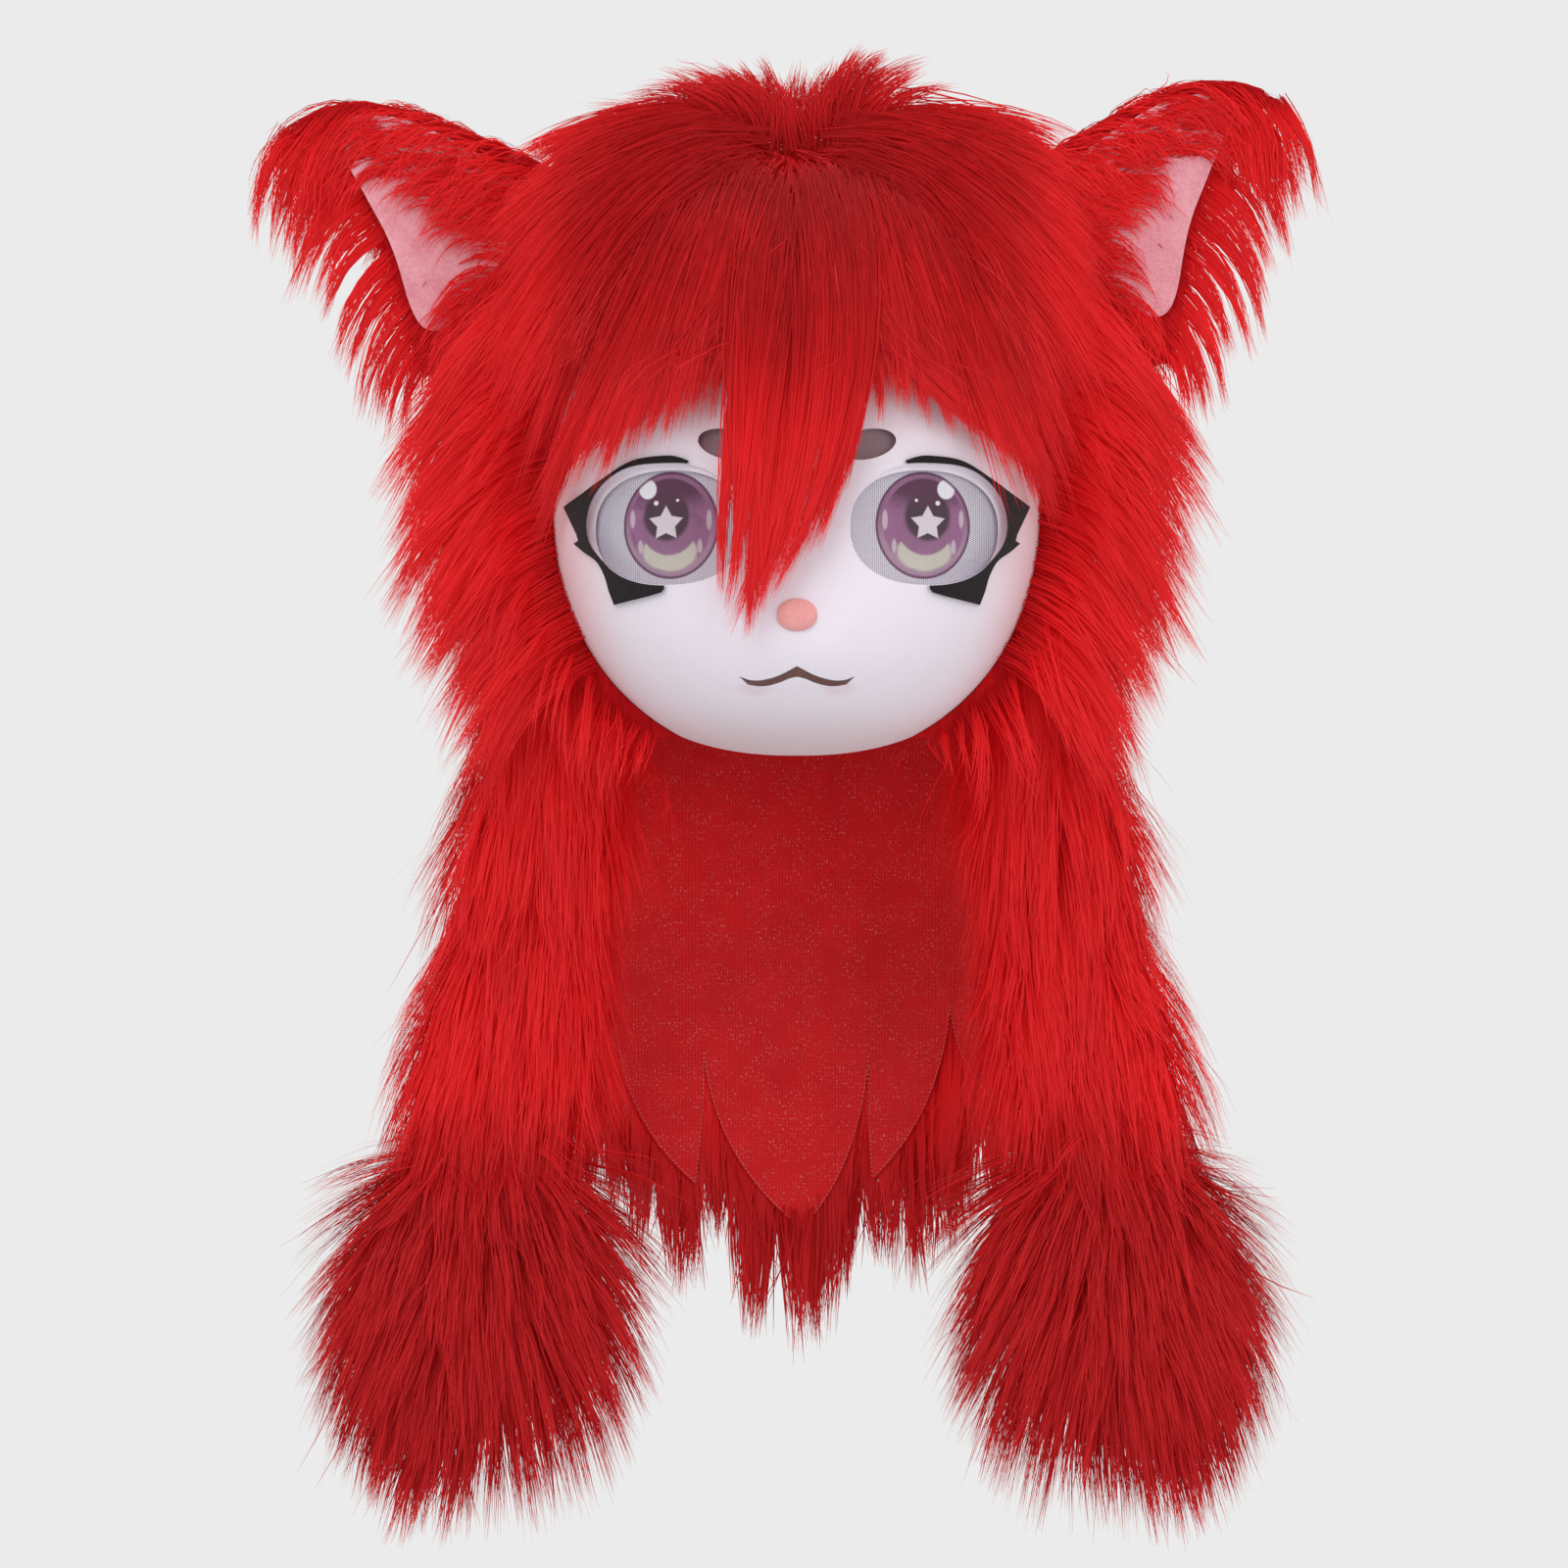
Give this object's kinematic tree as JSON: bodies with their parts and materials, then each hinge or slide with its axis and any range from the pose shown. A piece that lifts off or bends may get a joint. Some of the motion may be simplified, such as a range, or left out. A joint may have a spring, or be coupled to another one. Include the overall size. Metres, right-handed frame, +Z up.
{
  "type": "fursuit head",
  "caption": "Hollow long-haired cat mascot head with a white face, mesh eyes, sideways ears, bangs, long fur flaps ending in stuffed paws, and a lobed nape cape.",
  "frame": {"origin": "crown seat: the top of the hollow, where the head bears on its wearer", "axes": "-Y is where the face looks, +Z up, +X the viewer's right"},
  "size_m": [0.5297, 0.356, 0.7424],
  "materials": {
    "white_plush": "short white plush, tinted pink at the rim",
    "red_fur": "long-pile red fur in locks",
    "red_knit": "heathered red knit backing",
    "pink_plush": "short pink plush",
    "eye_mesh": "printed see-through mesh",
    "black_felt": "cut black felt",
    "nose_pad": "pink velour pad",
    "mouth_felt": "brown inlaid line"
  },
  "bodies": {
    "root": {"face_shell": "white_plush", "hood_shell": "red_knit", "hood_fur": "red_fur", "fringe_center": "red_fur", "fringe_left": "red_fur", "fringe_right": "red_fur", "crown_tuft": "red_fur", "ear_left": "red_fur", "ear_right": "red_fur", "ear_lining_left": "pink_plush", "ear_lining_right": "pink_plush", "eye_screen_left": "eye_mesh", "eye_screen_right": "eye_mesh", "brow_screen_left": "eye_mesh", "brow_screen_right": "eye_mesh", "lash_left": "black_felt", "lash_right": "black_felt", "nose": "nose_pad", "mouth": "mouth_felt", "flap_left": "red_fur", "flap_right": "red_fur", "paw_left": "red_fur", "paw_right": "red_fur", "neck_cape": "red_knit", "cape_fur": "red_fur"}
  },
  "joints": []
}
